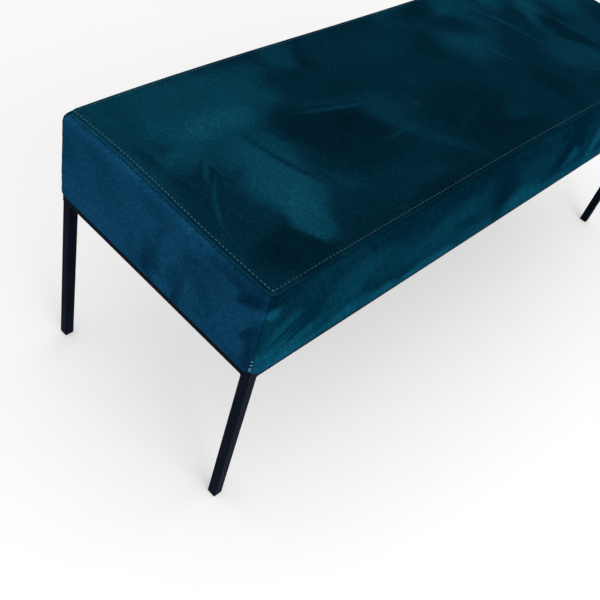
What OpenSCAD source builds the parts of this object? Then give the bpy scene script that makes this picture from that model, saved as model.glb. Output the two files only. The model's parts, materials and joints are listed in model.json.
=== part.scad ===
// Upholstered bench: a boxed, crowned cushion on a slim welded frame of square steel tube.
// Millimetres. +X runs along the bench, +Z is up, and the origin is on the floor under its middle.

/* [Frame] */
// Length of the welded frame, outside to outside
frame_length = 1200; // [900:10:1500]
// Depth of the welded frame, outside to outside
frame_depth = 400; // [340:5:480]
// Height of the underside of the rails above the floor
leg_height = 292; // [240:1:340]
// Side of the square tube
tube = 16; // [14:1:25]
// Wall of the square tube
tube_wall = 1.5; // [1.2:0.1:2]
// Outside corner radius of the tube
tube_corner = 2; // [2:0.1:3]
// Leg of the fillet welds where the legs meet the rails
weld_leg = 4.5; // [3:0.5:6]
// Leg of the small welds on the bearers and tabs
small_weld = 3; // [2:0.5:4]
// Distance of each cross bearer from the middle of the bench
bearer_offset = 200; // [120:10:260]

/* [Fixings] */
// Distance of the end fixing tabs from the middle of the bench
tab_offset = 480; // [320:10:540]
// Width of a fixing tab
tab_width = 26; // [20:1:36]
// How far a tab stands in from its rail
tab_reach = 26; // [22:1:34]
// Thickness of a tab
tab_thick = 3; // [2:0.5:4]
// Distance of the bolt from the rail's inner face
bolt_inset = 13; // [11:0.5:16]
// Diameter of the bolts
bolt_d = 6; // [5:1:8]
// Length of the bolts under the head
bolt_length = 20; // [18:1:22]

/* [Feet] */
// Thickness of the tube insert's head, which stands on the floor
foot_head = 3; // [2:0.5:5]
// Chamfer round the bottom of the head
foot_chamfer = 0.8; // [0.4:0.1:1.2]
// How far the insert's stem goes up into the leg
foot_stem = 16; // [12:1:24]
// Number of gripping ribs on the stem
foot_ribs = 4; // [3:1:5]

/* [Cushion] */
// Height of the top seam over the rails, at the corners
seam_height = 135; // [100:1:160]
// How far the middle of the top rises along the bench
crown_long = 7.5; // [2:0.5:14]
// How far the middle of the top rises across the bench
crown_short = 3.5; // [1:0.5:10]
// How far the top panel swells inside its seam
lip_rise = 2.5; // [0:0.5:4]
// How far the cover stands out of the frame at its foot
base_outset = 7; // [4:0.5:8]
// How far it stands out just under its shoulder
wall_outset = 5; // [4:0.5:7]
// How far the long top seams lie in from the frame
long_seam_inset = 1; // [0:0.5:4]
// How far the top seams at the ends lie in from it
end_seam_inset = 5; // [0:0.5:6]
// Height of the rounded shoulder between the side and the top seam
shoulder = 9; // [6:0.5:12]
// Radius of the cover's rounded foot over the rails
base_round = 6; // [4:0.5:8]
// How far each side bows out between its corners
side_bow = 1; // [0:0.5:3]
// Corner radius of the cover at its foot
base_radius = 19; // [14:1:24]
// Corner radius of the top seam
seam_radius = 14; // [12:1:24]
// Thickness of the velvet with its backing
velvet = 1; // [0.8:0.1:1.6]
// Width of the seam allowance that the topstitching holds down
allowance = 10; // [8:1:14]
// Width of velvet turned in under the seat board
turn_under = 24; // [18:1:24]

/* [Filling] */
// Thickness of the seat board
board_thick = 15; // [12:1:18]
// Thickness of the fibre wadding
wadding_thick = 8; // [6:1:12]
// Thickness of the firm lower foam
base_foam_thick = 70; // [40:5:80]

/* [Hidden] */
$fn = 48;

steel_colour = "#16191d";
velvet_colour = "#0b4259";
gap = 0.1;                              // clearance between pieces that only lie together
cut = 1;                                // how far a cutting shape runs past what it cuts
half_l = frame_length / 2;
half_d = frame_depth / 2;
rail_top = leg_height + tube;
bore = tube - 2 * tube_wall;
flat = tube - 2 * tube_corner;          // the flat width of a tube's side, where its welds lie
tab_places = [-tab_offset, 0, tab_offset];
bolt_y = half_d - tube - bolt_inset;

stem = bore - 3.4;                      // the feet's stems are loose in the tube, and their ribs grip
stem_corner = 1.2;
stem_bore = stem - 2.8;
rib_thick = 0.8;

dust_thick = 0.4;
dust_inset = 13;                        // the dust cover stops this far inside the frame
dust_corner = 8;
return_height = 2 * gap + dust_thick;   // the turned-in velvet lies over the dust cover
board_base = rail_top + return_height + velvet + gap;
board_top = board_base + board_thick;
board_corner = 12;

washer_thick = 1.2;
washer_d = 12;
bolt_head_d = 10.5;
bolt_head = 3.3;
socket_af = 4;                          // across the flats of the hexagon socket
socket_depth = 0.6 * bolt_head;
nut_flange_d = 19;
nut_flange = 1.3;
nut_barrel_d = 7.8;
nut_barrel = 9;
prong_width = 2.6;
prong_thick = 1;
prong_length = 6;
prong_ring = nut_flange_d / 2 - 2.2;    // radius of the circle that the prongs stand on
bolt_seat = rail_top - tab_thick - washer_thick;

wadding_gap = velvet + 6 * gap;         // from the cover's outside in to the wadding
foam_inset = wadding_gap + wadding_thick + 1 - min(wall_outset, base_outset);
foam_radius = 12;
board_inset = foam_inset + 4 * gap;

// Plain profiles

module rounded_rect(width, depth, r) {
    square([width, depth - 2 * r], center = true);
    square([width - 2 * r, depth], center = true);
    for (sx = [-1, 1], sy = [-1, 1])
        translate([sx * (width / 2 - r), sy * (depth / 2 - r)]) circle(r = r);
}

module tube_profile() {
    difference() {
        rounded_rect(tube, tube, tube_corner);
        rounded_rect(bore, bore, tube_corner - tube_wall);
    }
}

// Concave weld fillet: its square corner is on the Z axis and it opens towards +X and +Y
module fillet(length, leg) {
    translate([0, 0, -length / 2])
        linear_extrude(length)
            difference() {
                square(leg);
                translate([leg, leg]) circle(r = leg);
            }
}

// The same fillet laid level under an edge: it opens sideways along the heading and down
module fillet_below(heading, length, leg)
    rotate([0, 0, heading]) rotate([-90, 0, 0]) fillet(length, leg);

// And laid level on a face: it opens sideways along the heading and up
module fillet_above(heading, length, leg)
    rotate([0, 0, heading]) rotate([90, 0, 0]) fillet(length, leg);

// Places its children at the six bolts
module at_bolts()
    for (x = tab_places, side = [-1, 1]) translate([x, side * bolt_y, 0]) children();

// Steel frame

// Square tube along X at the front, both ends cut to a 45 degree mitre
module mitred_rail(length, reach) {
    color(steel_colour)
        intersection() {
            translate([-length / 2, -reach + tube / 2, leg_height + tube / 2])
                rotate([90, 0, 90]) linear_extrude(length) tube_profile();
            translate([0, 0, leg_height - cut])
                linear_extrude(tube + 2 * cut)
                    polygon([
                        [-length / 2, -reach], [length / 2, -reach],
                        [length / 2 - tube, tube - reach], [tube - length / 2, tube - reach]
                    ]);
        }
}

module leg(sx, sy) {
    color(steel_colour)
        translate([sx * (half_l - tube / 2), sy * (half_d - tube / 2), foot_head])
            linear_extrude(leg_height - foot_head) tube_profile();
}

module bearer(x) {
    length = frame_depth - 2 * tube;
    color(steel_colour)
        translate([x, length / 2, leg_height + tube / 2])
            rotate([90, 0, 0]) linear_extrude(length) tube_profile();
}

// Round-nosed tab, flush with the top of its rail
module tab() {
    nose = tab_width / 2;
    hole_d = bolt_d + 0.6;
    difference() {
        linear_extrude(tab_thick)
            union() {
                translate([-nose, 0]) square([tab_width, tab_reach - nose]);
                translate([0, tab_reach - nose]) circle(r = nose);
            }
        translate([0, bolt_inset, -cut]) cylinder(d = hole_d, h = tab_thick + 2 * cut);
    }
}

module fixing_tabs() {
    color(steel_colour)
        for (x = tab_places, turn = [0, 180])
            rotate([0, 0, turn])
                translate([x, tube - half_d, rail_top - tab_thick]) tab();
}

// Fillets inside each corner, between the leg's inner faces and the rails' undersides
module leg_welds() {
    for (sx = [-1, 1], sy = [-1, 1]) {
        translate([sx * (half_l - tube), sy * (half_d - tube / 2), leg_height])
            fillet_below(90 + 90 * sx, flat, weld_leg);
        translate([sx * (half_l - tube / 2), sy * (half_d - tube), leg_height])
            fillet_below(-90 * sy, flat, weld_leg);
    }
}

// The grooves between each leg and the rails' rounded lower edges, filled and ground flush
module ground_welds() {
    for (sx = [-1, 1], sy = [-1, 1]) {
        translate([sx * half_l, sy * (half_d - tube / 2), leg_height])
            fillet_above(90 + 90 * sx, tube, tube_corner);
        translate([sx * (half_l - tube / 2), sy * half_d, leg_height])
            fillet_above(-90 * sy, tube, tube_corner);
    }
}

module bearer_welds() {
    for (x = [-bearer_offset, bearer_offset], turn = [0, 180])
        rotate([0, 0, turn])
            for (side = [-1, 1])
                translate([x + side * tube / 2, tube - half_d, leg_height + tube / 2])
                    rotate([0, 0, 45 - 45 * side]) fillet(flat, small_weld);
}

module tab_welds() {
    for (x = tab_places, turn = [0, 180])
        rotate([0, 0, turn])
            translate([x, tube - half_d, rail_top - tab_thick])
                fillet_below(90, tab_width - 4, small_weld);
}

module weld_beads() {
    color(steel_colour) {
        leg_welds();
        ground_welds();
        bearer_welds();
        tab_welds();
    }
}

// Ribbed tube inserts

// The head's outline seen from one side, with the chamfer at the floor
module head_profile() {
    half = tube / 2;
    polygon([
        [foot_chamfer - half, 0], [half - foot_chamfer, 0], [half, foot_chamfer],
        [half, foot_head], [-half, foot_head], [-half, foot_chamfer]
    ]);
}

module foot_insert(sx, sy) {
    rib_width = bore - 2 * gap;
    rib_pitch = foot_stem / (foot_ribs + 0.5);
    color("#101112")
        translate([sx * (half_l - tube / 2), sy * (half_d - tube / 2), 0]) {
            intersection() {
                linear_extrude(foot_head) rounded_rect(tube, tube, tube_corner);
                translate([0, tube / 2, 0]) rotate([90, 0, 0]) linear_extrude(tube) head_profile();
                translate([-tube / 2, 0, 0]) rotate([90, 0, 90]) linear_extrude(tube) head_profile();
            }
            translate([0, 0, foot_head])
                difference() {
                    union() {
                        linear_extrude(foot_stem) rounded_rect(stem, stem, stem_corner);
                        for (i = [1 : foot_ribs])
                            translate([0, 0, i * rib_pitch - rib_thick / 2])
                                linear_extrude(rib_thick)
                                    rounded_rect(rib_width, rib_width, stem_corner);
                    }
                    linear_extrude(foot_stem + cut)
                        rounded_rect(stem_bore, stem_bore, stem_corner / 2);
                }
        }
}

// Seat board and fixings

// Four prongs round a tee nut; clear widens them into the slots that they cut in the board
module prongs(clear) {
    half_width = prong_width / 2 + clear;
    thick = prong_thick + 2 * clear;
    for (turn = [45 : 90 : 315])
        rotate([0, 0, turn])
            translate([prong_ring - thick / 2, 0, 0])
                rotate([90, 0, 90])
                    linear_extrude(thick)
                        polygon([[-half_width, 0], [half_width, 0], [0, -prong_length - clear]]);
}

module seat_board() {
    color("#c9a878")
        difference() {
            translate([0, 0, board_base])
                linear_extrude(board_thick)
                    rounded_rect(
                        frame_length - 2 * board_inset, frame_depth - 2 * board_inset, board_corner
                    );
            at_bolts() {
                translate([0, 0, board_base - cut])
                    cylinder(d = nut_barrel_d + 2 * gap, h = board_thick + 2 * cut);
                translate([0, 0, board_top - nut_flange - gap])
                    cylinder(d = nut_flange_d + 4 * gap, h = nut_flange + cut);
                translate([0, 0, board_top - nut_flange]) prongs(gap);
            }
        }
}

module tee_nuts() {
    color("#b9bcc0")
        at_bolts()
            translate([0, 0, board_top - nut_flange]) {
                difference() {
                    union() {
                        cylinder(d = nut_flange_d, h = nut_flange);
                        translate([0, 0, -nut_barrel]) cylinder(d = nut_barrel_d, h = nut_barrel + gap);
                        prongs(0);
                    }
                    translate([0, 0, -nut_barrel - cut])
                        cylinder(d = bolt_d + 2 * gap, h = nut_barrel + nut_flange + 2 * cut);
                }
            }
}

// Button-headed bolt with a hexagon socket: the head is a slice of a ball
module fixing_bolts() {
    ball = (bolt_head_d * bolt_head_d / 4 + bolt_head * bolt_head) / (2 * bolt_head);
    color("#2a2c2f")
        at_bolts()
            translate([0, 0, bolt_seat]) {
                cylinder(d = bolt_d, h = bolt_length);
                difference() {
                    intersection() {
                        translate([0, 0, ball - bolt_head]) sphere(r = ball);
                        translate([0, 0, -bolt_head - cut])
                            cylinder(d = bolt_head_d + cut, h = bolt_head + cut);
                    }
                    translate([0, 0, -bolt_head - cut])
                        cylinder(d = socket_af / cos(30), h = socket_depth + cut, $fn = 6);
                }
            }
}

module washers() {
    hole_d = bolt_d + 0.4;
    color("#8d9094")
        at_bolts()
            translate([0, 0, bolt_seat])
                difference() {
                    cylinder(d = washer_d, h = washer_thick);
                    translate([0, 0, -cut]) cylinder(d = hole_d, h = washer_thick + 2 * cut);
                }
}

module dust_cover() {
    hole_d = bolt_d + 2;
    color("#1c1c1e")
        translate([0, 0, rail_top + gap])
            difference() {
                linear_extrude(dust_thick)
                    rounded_rect(
                        frame_length - 2 * dust_inset, frame_depth - 2 * dust_inset, dust_corner
                    );
                at_bolts() translate([0, 0, -cut]) cylinder(d = hole_d, h = dust_thick + 2 * cut);
            }
}

// Soft forms
// Every soft layer is a profile carried round a rounded rectangle. A profile row is
// [outset from the frame, corner radius, height over the rails, share of the crown,
// share of the seam's inset], and the rows run from the middle of the top outwards and down.

arc_steps = 4;
long_steps = 13;
short_steps = 7;                        // odd, so that a ring closes across its middle
lip_reach = 5;                          // the top panel's swell is two thirds done this far in
least_radius = 3;
seam_base = seam_height - velvet - gap; // where the boxing passes under the top panel's edge
wall_height = seam_base - shoulder;
deep_inset = half_d - long_seam_inset - 4;  // the innermost row, a narrow slot along the middle
wadding_depth = 3 * velvet + 5 * gap;   // room for the top panel and the allowance under it

function flatten(lists) = [for (list = lists) each list];
function reverse(list) = [for (i = [len(list) - 1 : -1 : 0]) list[i]];

// Share of the crown: a flat-topped arch along the bench plus a round arch across it
function arch(x, half, power) = 1 - pow(min(abs(x) / half, 1), power);
function crown(x, y) =
    crown_long * arch(x, half_l, 4) + crown_short * arch(y, half_d, 2);

// One side of a rounded rectangle, from the middle of one corner to the middle of the next,
// with its straight stretch bowed out a little
function front_path(half, reach, r, steps) = concat(
    [for (i = [0 : arc_steps]) let (a = 225 + 45 * i / arc_steps)
        [r - half + r * cos(a), r - reach + r * sin(a)]],
    [for (i = [1 : steps - 1]) let (u = 2 * i / steps - 1)
        [(half - r) * u, -reach - side_bow * (1 - u * u)]],
    [for (i = [0 : arc_steps]) let (a = 270 + 45 * i / arc_steps)
        [half - r + r * cos(a), r - reach + r * sin(a)]]
);

// Side 0 is the front, and the others follow anticlockwise
function side_path(side, row) = let (
        long_reach = half_d + row[0] - long_seam_inset * row[4],
        end_reach = half_l + row[0] - end_seam_inset * row[4],
        path = side % 2 == 0
            ? front_path(end_reach, long_reach, row[1], long_steps)
            : front_path(long_reach, end_reach, row[1], short_steps),
        turn = 90 * side
    )
    [for (p = path) [p[0] * cos(turn) - p[1] * sin(turn), p[0] * sin(turn) + p[1] * cos(turn)]];

// Points of one profile row along a path
function raised(path, row) =
    [for (p = path) [p[0], p[1], rail_top + row[2] + row[3] * crown(p[0], p[1])]];

// A whole ring, anticlockwise from above, that starts in the middle of the left end
function ring(row) = let (
        points = flatten([for (side = [0 : 3])
            let (path = side_path(side, row)) [for (i = [0 : len(path) - 2]) path[i]]]),
        count = len(points),
        start = count - (2 * arc_steps + short_steps - 1) / 2
    )
    raised([for (i = [0 : count - 1]) points[(start + i) % count]], row);

// A row's place in the section, with the mean of the two insets
function section_point(row) =
    [row[0] - row[4] * (long_seam_inset + end_seam_inset) / 2, row[2]];

// The profile moved inwards by a thickness, square to itself
function inner_rows(rows, thick) = [
    for (i = [0 : len(rows) - 1]) let (
        row = rows[i],
        step = section_point(rows[min(i + 1, len(rows) - 1)]) - section_point(rows[max(i - 1, 0)]),
        shift = thick * step / norm(step)
    )
    [row[0] + shift[1], max(row[1] + shift[1], 1), row[2] - shift[0], row[3], row[4]]
];

// A closed solid through a stack of loops, each of them anticlockwise seen from the last one
module loft(loops) {
    n = len(loops[0]);
    last = (len(loops) - 1) * n;
    walls = [
        for (k = [0 : len(loops) - 2], i = [0 : n - 1]) let (
            a = k * n + i,
            b = k * n + (i + 1) % n
        )
        each [[a, a + n, b + n], [a, b + n, b]]
    ];
    near_cap = [for (i = [0 : n / 2 - 2]) each [[i, i + 1, n - 2 - i], [i, n - 2 - i, n - 1 - i]]];
    far_cap = [for (face = near_cap) [for (i = reverse(face)) last + i]];
    polyhedron(flatten(loops), concat(walls, near_cap, far_cap));
}

// A solid layer: the profile and a flat base
module solid_layer(rows) loft([for (row = reverse(rows)) ring(row)]);

// A hollow layer of the given thickness under the profile
module shell_layer(rows, thick)
    loft([for (row = concat(inner_rows(rows, thick), reverse(rows))) ring(row)]);

// A sheet of the given thickness along one side only
module side_layer(side, rows, thick) {
    section = concat(rows, reverse(inner_rows(rows, thick)));
    sheets = [for (row = section) raised(side_path(side, row), row)];
    loft([for (i = [0 : len(sheets[0]) - 1]) [for (sheet = sheets) sheet[i]]]);
}

// How far the top panel has swollen at a distance in from its seam
function lip(d) = lip_rise * (1 - exp(-d / lip_reach));

// The top inside its seam: rows at these distances in from the seam, lowered by depth
function top_rows(insets, depth) = [
    for (d = insets) [-d, max(seam_radius - d, least_radius), seam_height + lip(d) - depth, 1, 1]
];

// One row of the shoulder, a quarter of an ellipse that is level at the seam (a = 90) and upright
// under it (a = 0), set in by depth and lowered by drop
function shoulder_row(a, depth, drop) = let (height = wall_height + (shoulder - drop) * sin(a))
    [(wall_outset - depth) * cos(a), seam_radius - depth, height, height / seam_base, 1 - cos(a)];

// The wall at these shares of its height, set in by depth. Its outset eases from the one under the
// shoulder to the one at the foot.
function wall_rows(shares, depth) = [
    for (t = shares) let (height = t * wall_height) [
        wall_outset + (base_outset - wall_outset) * pow(1 - t, 2) - depth,
        base_radius + (seam_radius - base_radius) * t - depth,
        height, height / seam_base, 0
    ]
];

// The foot as a quarter of a circle, from the wall round to level
function base_rows(angles) = [
    for (a = angles) let (turned_in = base_round * (1 - cos(a))) [
        base_outset - turned_in, base_radius - turned_in, 3 * gap + base_round * (1 - sin(a)), 0, 0
    ]
];

module top_panel()
    color(velvet_colour)
        shell_layer(top_rows([deep_inset, 160, 110, 60, 28, 12, 4, 0], 0), velvet);

// Allowance under the top panel, shoulder, side wall, rounded foot, and the return under the board
module boxing(side) {
    allowance_row = [
        -allowance, max(seam_radius - allowance, least_radius),
        seam_base + lip(allowance) - 2 * gap, 1, 1
    ];
    rows = concat(
        [allowance_row, [-least_radius, seam_radius - least_radius, seam_base, 1, 1]],
        [for (a = [90, 60, 30, 0]) shoulder_row(a, 0, 0)],
        wall_rows([0.75, 0.5, 0.25, 0.12], 0),
        base_rows([0, 45, 90]),
        [
            [-2, base_radius - 9, gap, 0, 0],
            [-dust_inset, least_radius, return_height, 0, 0],
            [-turn_under, 2, return_height, 0, 0]
        ]
    );
    color(velvet_colour) side_layer(side, rows, velvet);
}

module wadding() {
    rows = concat(
        top_rows([deep_inset, 110, 50, 20, 8], wadding_depth),
        [shoulder_row(45, wadding_gap, wadding_depth - velvet - gap)],
        wall_rows([0.9, 0.7, 0.45, 0.25, 0.1], wadding_gap)
    );
    color("#e9e7e0") shell_layer(rows, wadding_thick);
}

module base_foam() {
    color("#d8b25e")
        translate([0, 0, board_top + gap])
            linear_extrude(base_foam_thick)
                rounded_rect(
                    frame_length - 2 * foam_inset, frame_depth - 2 * foam_inset, foam_radius
                );
}

// Soft foam with its top edge eased and a flat base on the firm foam
module top_foam() {
    depth = wadding_depth + wadding_thick + 6 * gap;
    base = board_top + base_foam_thick + 2 * gap - rail_top;
    rows = concat(
        top_rows([deep_inset, 110, 50, 20, 12], depth),
        [
            [-foam_inset, foam_radius, seam_height - depth - 5, 1, 0],
            [-foam_inset, foam_radius, base, 0, 0]
        ]
    );
    color("#efe6c9") solid_layer(rows);
}

mitred_rail(frame_length, half_d);  // front_rail
rotate([0, 0, 180]) mitred_rail(frame_length, half_d);  // rear_rail
rotate([0, 0, -90]) mitred_rail(frame_depth, half_l);  // left_rail
rotate([0, 0, 90]) mitred_rail(frame_depth, half_l);  // right_rail
leg(-1, -1);  // front_left_leg
leg(1, -1);  // front_right_leg
leg(-1, 1);  // rear_left_leg
leg(1, 1);  // rear_right_leg
bearer(-bearer_offset);  // left_bearer
bearer(bearer_offset);  // right_bearer
fixing_tabs();
weld_beads();
foot_insert(-1, -1);  // front_left_foot
foot_insert(1, -1);  // front_right_foot
foot_insert(-1, 1);  // rear_left_foot
foot_insert(1, 1);  // rear_right_foot
seat_board();
tee_nuts();
fixing_bolts();
washers();
dust_cover();
base_foam();
top_foam();
wadding();
top_panel();
boxing(0);  // front_boxing
boxing(1);  // right_boxing
boxing(2);  // rear_boxing
boxing(3);  // left_boxing
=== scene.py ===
import json
import math

import bpy
import numpy as np
from mathutils import Matrix, Vector


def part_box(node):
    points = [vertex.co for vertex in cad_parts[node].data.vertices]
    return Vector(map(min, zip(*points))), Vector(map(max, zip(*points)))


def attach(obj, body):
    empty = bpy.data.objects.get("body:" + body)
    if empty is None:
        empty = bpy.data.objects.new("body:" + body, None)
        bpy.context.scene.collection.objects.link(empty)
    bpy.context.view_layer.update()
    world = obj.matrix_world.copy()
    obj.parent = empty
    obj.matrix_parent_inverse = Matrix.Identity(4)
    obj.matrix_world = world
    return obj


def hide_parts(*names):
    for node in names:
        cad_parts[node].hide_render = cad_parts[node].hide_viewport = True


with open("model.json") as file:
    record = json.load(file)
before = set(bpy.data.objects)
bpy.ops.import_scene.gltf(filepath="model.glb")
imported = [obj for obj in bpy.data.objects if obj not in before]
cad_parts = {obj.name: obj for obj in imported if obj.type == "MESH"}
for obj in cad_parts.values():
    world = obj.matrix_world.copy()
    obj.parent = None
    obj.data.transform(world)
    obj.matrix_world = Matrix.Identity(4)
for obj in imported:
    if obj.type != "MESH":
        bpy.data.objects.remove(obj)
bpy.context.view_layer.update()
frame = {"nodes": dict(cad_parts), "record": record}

mm = 0.001
cadNodes = frame["nodes"]
railLow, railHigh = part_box("front_rail")
halfLong = -railLow.x
halfDeep = -railLow.y
railTop = railHigh.z
railSide = railHigh.z - railLow.z
print("frame loaded:", len(cadNodes), "nodes")


cameraSettings = {
    "place": (-1.1269, -0.5557, 1.1034),
    "right": (0.6866, -0.6920, 0.2231),
    "up": (0.4098, 0.6218, 0.6674),
    "lens": 48.64,
    "sensor": 36.0,
    "nearest": 0.05,
    "farthest": 60.0,
}


def makeCamera(settings):
    # The camera's own axes are the columns of its matrix: right, up, and backwards as their cross product
    data = bpy.data.cameras.new("benchCamera")
    data.lens = settings["lens"]
    data.sensor_width = settings["sensor"]
    data.clip_start = settings["nearest"]
    data.clip_end = settings["farthest"]
    right = Vector(settings["right"]).normalized()
    back = right.cross(Vector(settings["up"])).normalized()
    up = back.cross(right)
    turn = Matrix((right, up, back)).transposed().to_4x4()
    camera = bpy.data.objects.new("benchCamera", data)
    camera.matrix_world = Matrix.Translation(settings["place"]) @ turn
    bpy.context.scene.collection.objects.link(camera)
    bpy.context.scene.camera = camera


makeCamera(cameraSettings)


latticeHash = {
    "shift": 512.37,            # cells that the lattice lies off the origin
    "axes": (73856093, 19349663, 83492791),
    "seed": 668265263,
    "stir": 1274126177,
}


def latticeNoise(points, cell, seed):
    # Random values on a cubic lattice, blended between the eight nearest corners with the weight
    # 3f^2 - 2f^3 along each axis. Each corner's index is multiplied by large primes and stirred, and the
    # result runs from -1 to 1.
    scaled = np.asarray(points, float) / cell + latticeHash["shift"]
    base = np.floor(scaled).astype(np.int64)
    blend = scaled - base
    blend = blend * blend * (3 - 2 * blend)
    total = np.zeros(scaled.shape[:-1])
    for corner in np.ndindex(2, 2, 2):
        index = base + np.array(corner)
        mixed = (index * np.array(latticeHash["axes"])).sum(-1) + seed * latticeHash["seed"]
        mixed = (mixed ^ (mixed >> 13)) * latticeHash["stir"] & 0xFFFFFFFF
        mixed = (mixed ^ (mixed >> 15)) & 0xFFFFFF
        weight = np.where(np.array(corner) == 1, blend, 1 - blend).prod(-1)
        total += weight * (mixed / 0x7FFFFF - 1)
    return total


def layeredNoise(points, cell, seed, layers=3):
    # Each layer has half the cell and half the height of the last one
    shares = [0.5 ** layer for layer in range(layers)]
    return sum(
        share * latticeNoise(points, cell * share, seed + layer) for layer, share in enumerate(shares)
    ) / sum(shares)


def smoothStep(low, high, value):
    # 3s^2 - 2s^3, where s goes from 0 at low to 1 at high
    share = np.clip((value - low) / (high - low), 0, 1)
    return share * share * (3 - 2 * share)


def bell(distance, width):
    # exp(-(distance / width)^2)
    return np.exp(-((distance / width) ** 2))


def addMesh(name, points, faces, outwards=False):
    # A smooth-shaded piece, turned right side out where that is asked for
    mesh = bpy.data.meshes.new(name)
    mesh.from_pydata(points.reshape(-1, 3), [], faces.tolist())
    mesh.polygons.foreach_set("use_smooth", np.ones(len(mesh.polygons), bool))
    piece = bpy.data.objects.new(name, mesh)
    bpy.context.scene.collection.objects.link(piece)
    if outwards and signedVolume(points.reshape(-1, 3), faces) < 0:
        mesh.flip_normals()
    mesh.update()
    return piece


def signedVolume(points, faces):
    # A sixth of the sum of a.(b x c) over a closed surface's triangles, two to a quad, is its volume
    first, second, third, fourth = points[faces].transpose(1, 0, 2)
    return ((first * np.cross(second, third)).sum() + (first * np.cross(third, fourth)).sum()) / 6


def gridFaces(rows, columns, wrapRows=False, wrapColumns=False):
    # Quads between neighbours on a grid of points, closed in a direction that wraps
    index = np.arange(rows * columns).reshape(rows, columns)
    if wrapRows:
        index = np.vstack([index, index[:1]])
    if wrapColumns:
        index = np.hstack([index, index[:, :1]])
    return np.stack(
        [index[:-1, :-1], index[:-1, 1:], index[1:, 1:], index[1:, :-1]], -1
    ).reshape(-1, 4)


def ringShell(name, loops):
    # A closed skin through a stack of rings, whose first and last ring are closed across their width
    rows, columns = loops.shape[:2]
    half = np.arange(columns // 2 - 1)
    near = np.stack([half, half + 1, columns - 2 - half, columns - 1 - half], -1)
    far = near[:, ::-1] + (rows - 1) * columns
    faces = np.vstack([gridFaces(rows, columns, wrapColumns=True), near[:, ::-1], far[:, ::-1]])
    return addMesh(name, loops, faces, outwards=True)


def stripShell(name, outer, inner):
    # A strip with a thickness: its section's loop runs along the outer rows and back along the inner ones
    rows, columns = outer.shape[:2]
    loop = np.concatenate([outer, inner[::-1]])
    step = np.arange(rows - 1)
    cap = np.stack([step, step + 1, 2 * rows - 2 - step, 2 * rows - 1 - step], -1) * columns
    faces = np.vstack(
        [gridFaces(2 * rows, columns, wrapRows=True), cap, cap[:, ::-1] + columns - 1]
    )
    return addMesh(name, loop, faces, outwards=True)


def tubeFaces(rings, sides, copies):
    # The faces of that many tubes, each closed by a fan of quads at both ends
    fan = np.arange(1, sides - 2, 2)
    end = np.stack([0 * fan, fan, fan + 1, fan + 2], -1)
    tube = gridFaces(rings, sides, wrapColumns=True)
    faces = np.vstack([tube, end[:, ::-1], end + (rings - 1) * sides])
    starts = np.arange(copies) * rings * sides
    return (faces[None] + starts[:, None, None]).reshape(-1, 4)


def placeCopies(centres, axes, offsets):
    # A small grid of points at each centre: the centre plus each offset times its axis there
    points = centres[:, None, None, :]
    for axis, offset in zip(axes, offsets):
        points = points + offset[None, :, :, None] * axis[:, None, None, :]
    return points


def unit(vectors):
    return vectors / np.linalg.norm(vectors, axis=1, keepdims=True)


def squareTo(headings, direction):
    # The direction less its share along each heading, at unit length
    return unit(direction - (direction * headings).sum(1, keepdims=True) * headings)


def setAttribute(piece, name, values):
    # One number for each vertex, that a material can read
    attribute = piece.data.attributes.new(name, "FLOAT", "POINT")
    attribute.data.foreach_set("value", np.asarray(values, np.float32).ravel())


def dress(piece, material):
    piece.data.materials.clear()
    piece.data.materials.append(material)


def finishPiece(piece, material, node=None):
    # Its material, its body, and the CAD node that it replaces
    dress(piece, material)
    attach(piece, "root")
    if node:
        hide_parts(node)


def tone(red, green, blue):
    # A screen colour as linear light: with c its share of 255, ((c + 0.055) / 1.055) to the power 2.4, or
    # c / 12.92 where it is very dark
    parts = [channel / 255 for channel in (red, green, blue)]
    return tuple(
        part / 12.92 if part <= 0.04045 else ((part + 0.055) / 1.055) ** 2.4 for part in parts
    ) + (1.0,)


def addNode(tree, kind, values=None, links=None, **settings):
    node = tree.nodes.new("ShaderNode" + kind)
    for key, value in settings.items():
        setattr(node, key, value)
    for socket, value in (values or {}).items():
        node.inputs[socket].default_value = value
    for socket, source in (links or {}).items():
        tree.links.new(source, node.inputs[socket])
    return node


def emptyTree(owner):
    owner.use_nodes = True
    owner.node_tree.nodes.clear()
    return owner.node_tree


def newMaterial(name, **values):
    # An empty material with a Principled shader that has these values
    material = bpy.data.materials.new(name)
    tree = emptyTree(material)
    sockets = {key.replace("_", " "): value for key, value in values.items()}
    shader = addNode(tree, "BsdfPrincipled", sockets)
    addNode(tree, "OutputMaterial", links={"Surface": shader.outputs[0]})
    return material, tree, shader


def objectPattern(tree, scale=(1, 1, 1), turn=(0, 0, 0), kind="POINT"):
    # Object coordinates, stretched and then turned. Of the kind TEXTURE, they are turned back and then
    # divided by the scale, which is the size of a cell along each axis.
    place = addNode(tree, "TexCoord").outputs["Object"]
    angles = [math.radians(angle) for angle in turn]
    return addNode(
        tree, "Mapping", {"Scale": scale, "Rotation": angles}, {"Vector": place}, vector_type=kind
    ).outputs[0]


def attributeOf(tree, name):
    # The number that each vertex has under this name
    return addNode(tree, "Attribute", attribute_name=name, attribute_type="GEOMETRY").outputs["Fac"]


def noiseOf(tree, vector, scale=1.0, detail=2.0, roughness=0.5, distortion=0.0):
    return addNode(
        tree, "TexNoise",
        {"Scale": scale, "Detail": detail, "Roughness": roughness, "Distortion": distortion},
        {"Vector": vector},
    ).outputs["Fac"]


def cellsOf(tree, vector, scale, randomness=1.0):
    return addNode(
        tree, "TexVoronoi", {"Scale": scale, "Randomness": randomness}, {"Vector": vector}
    ).outputs["Distance"]


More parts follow.
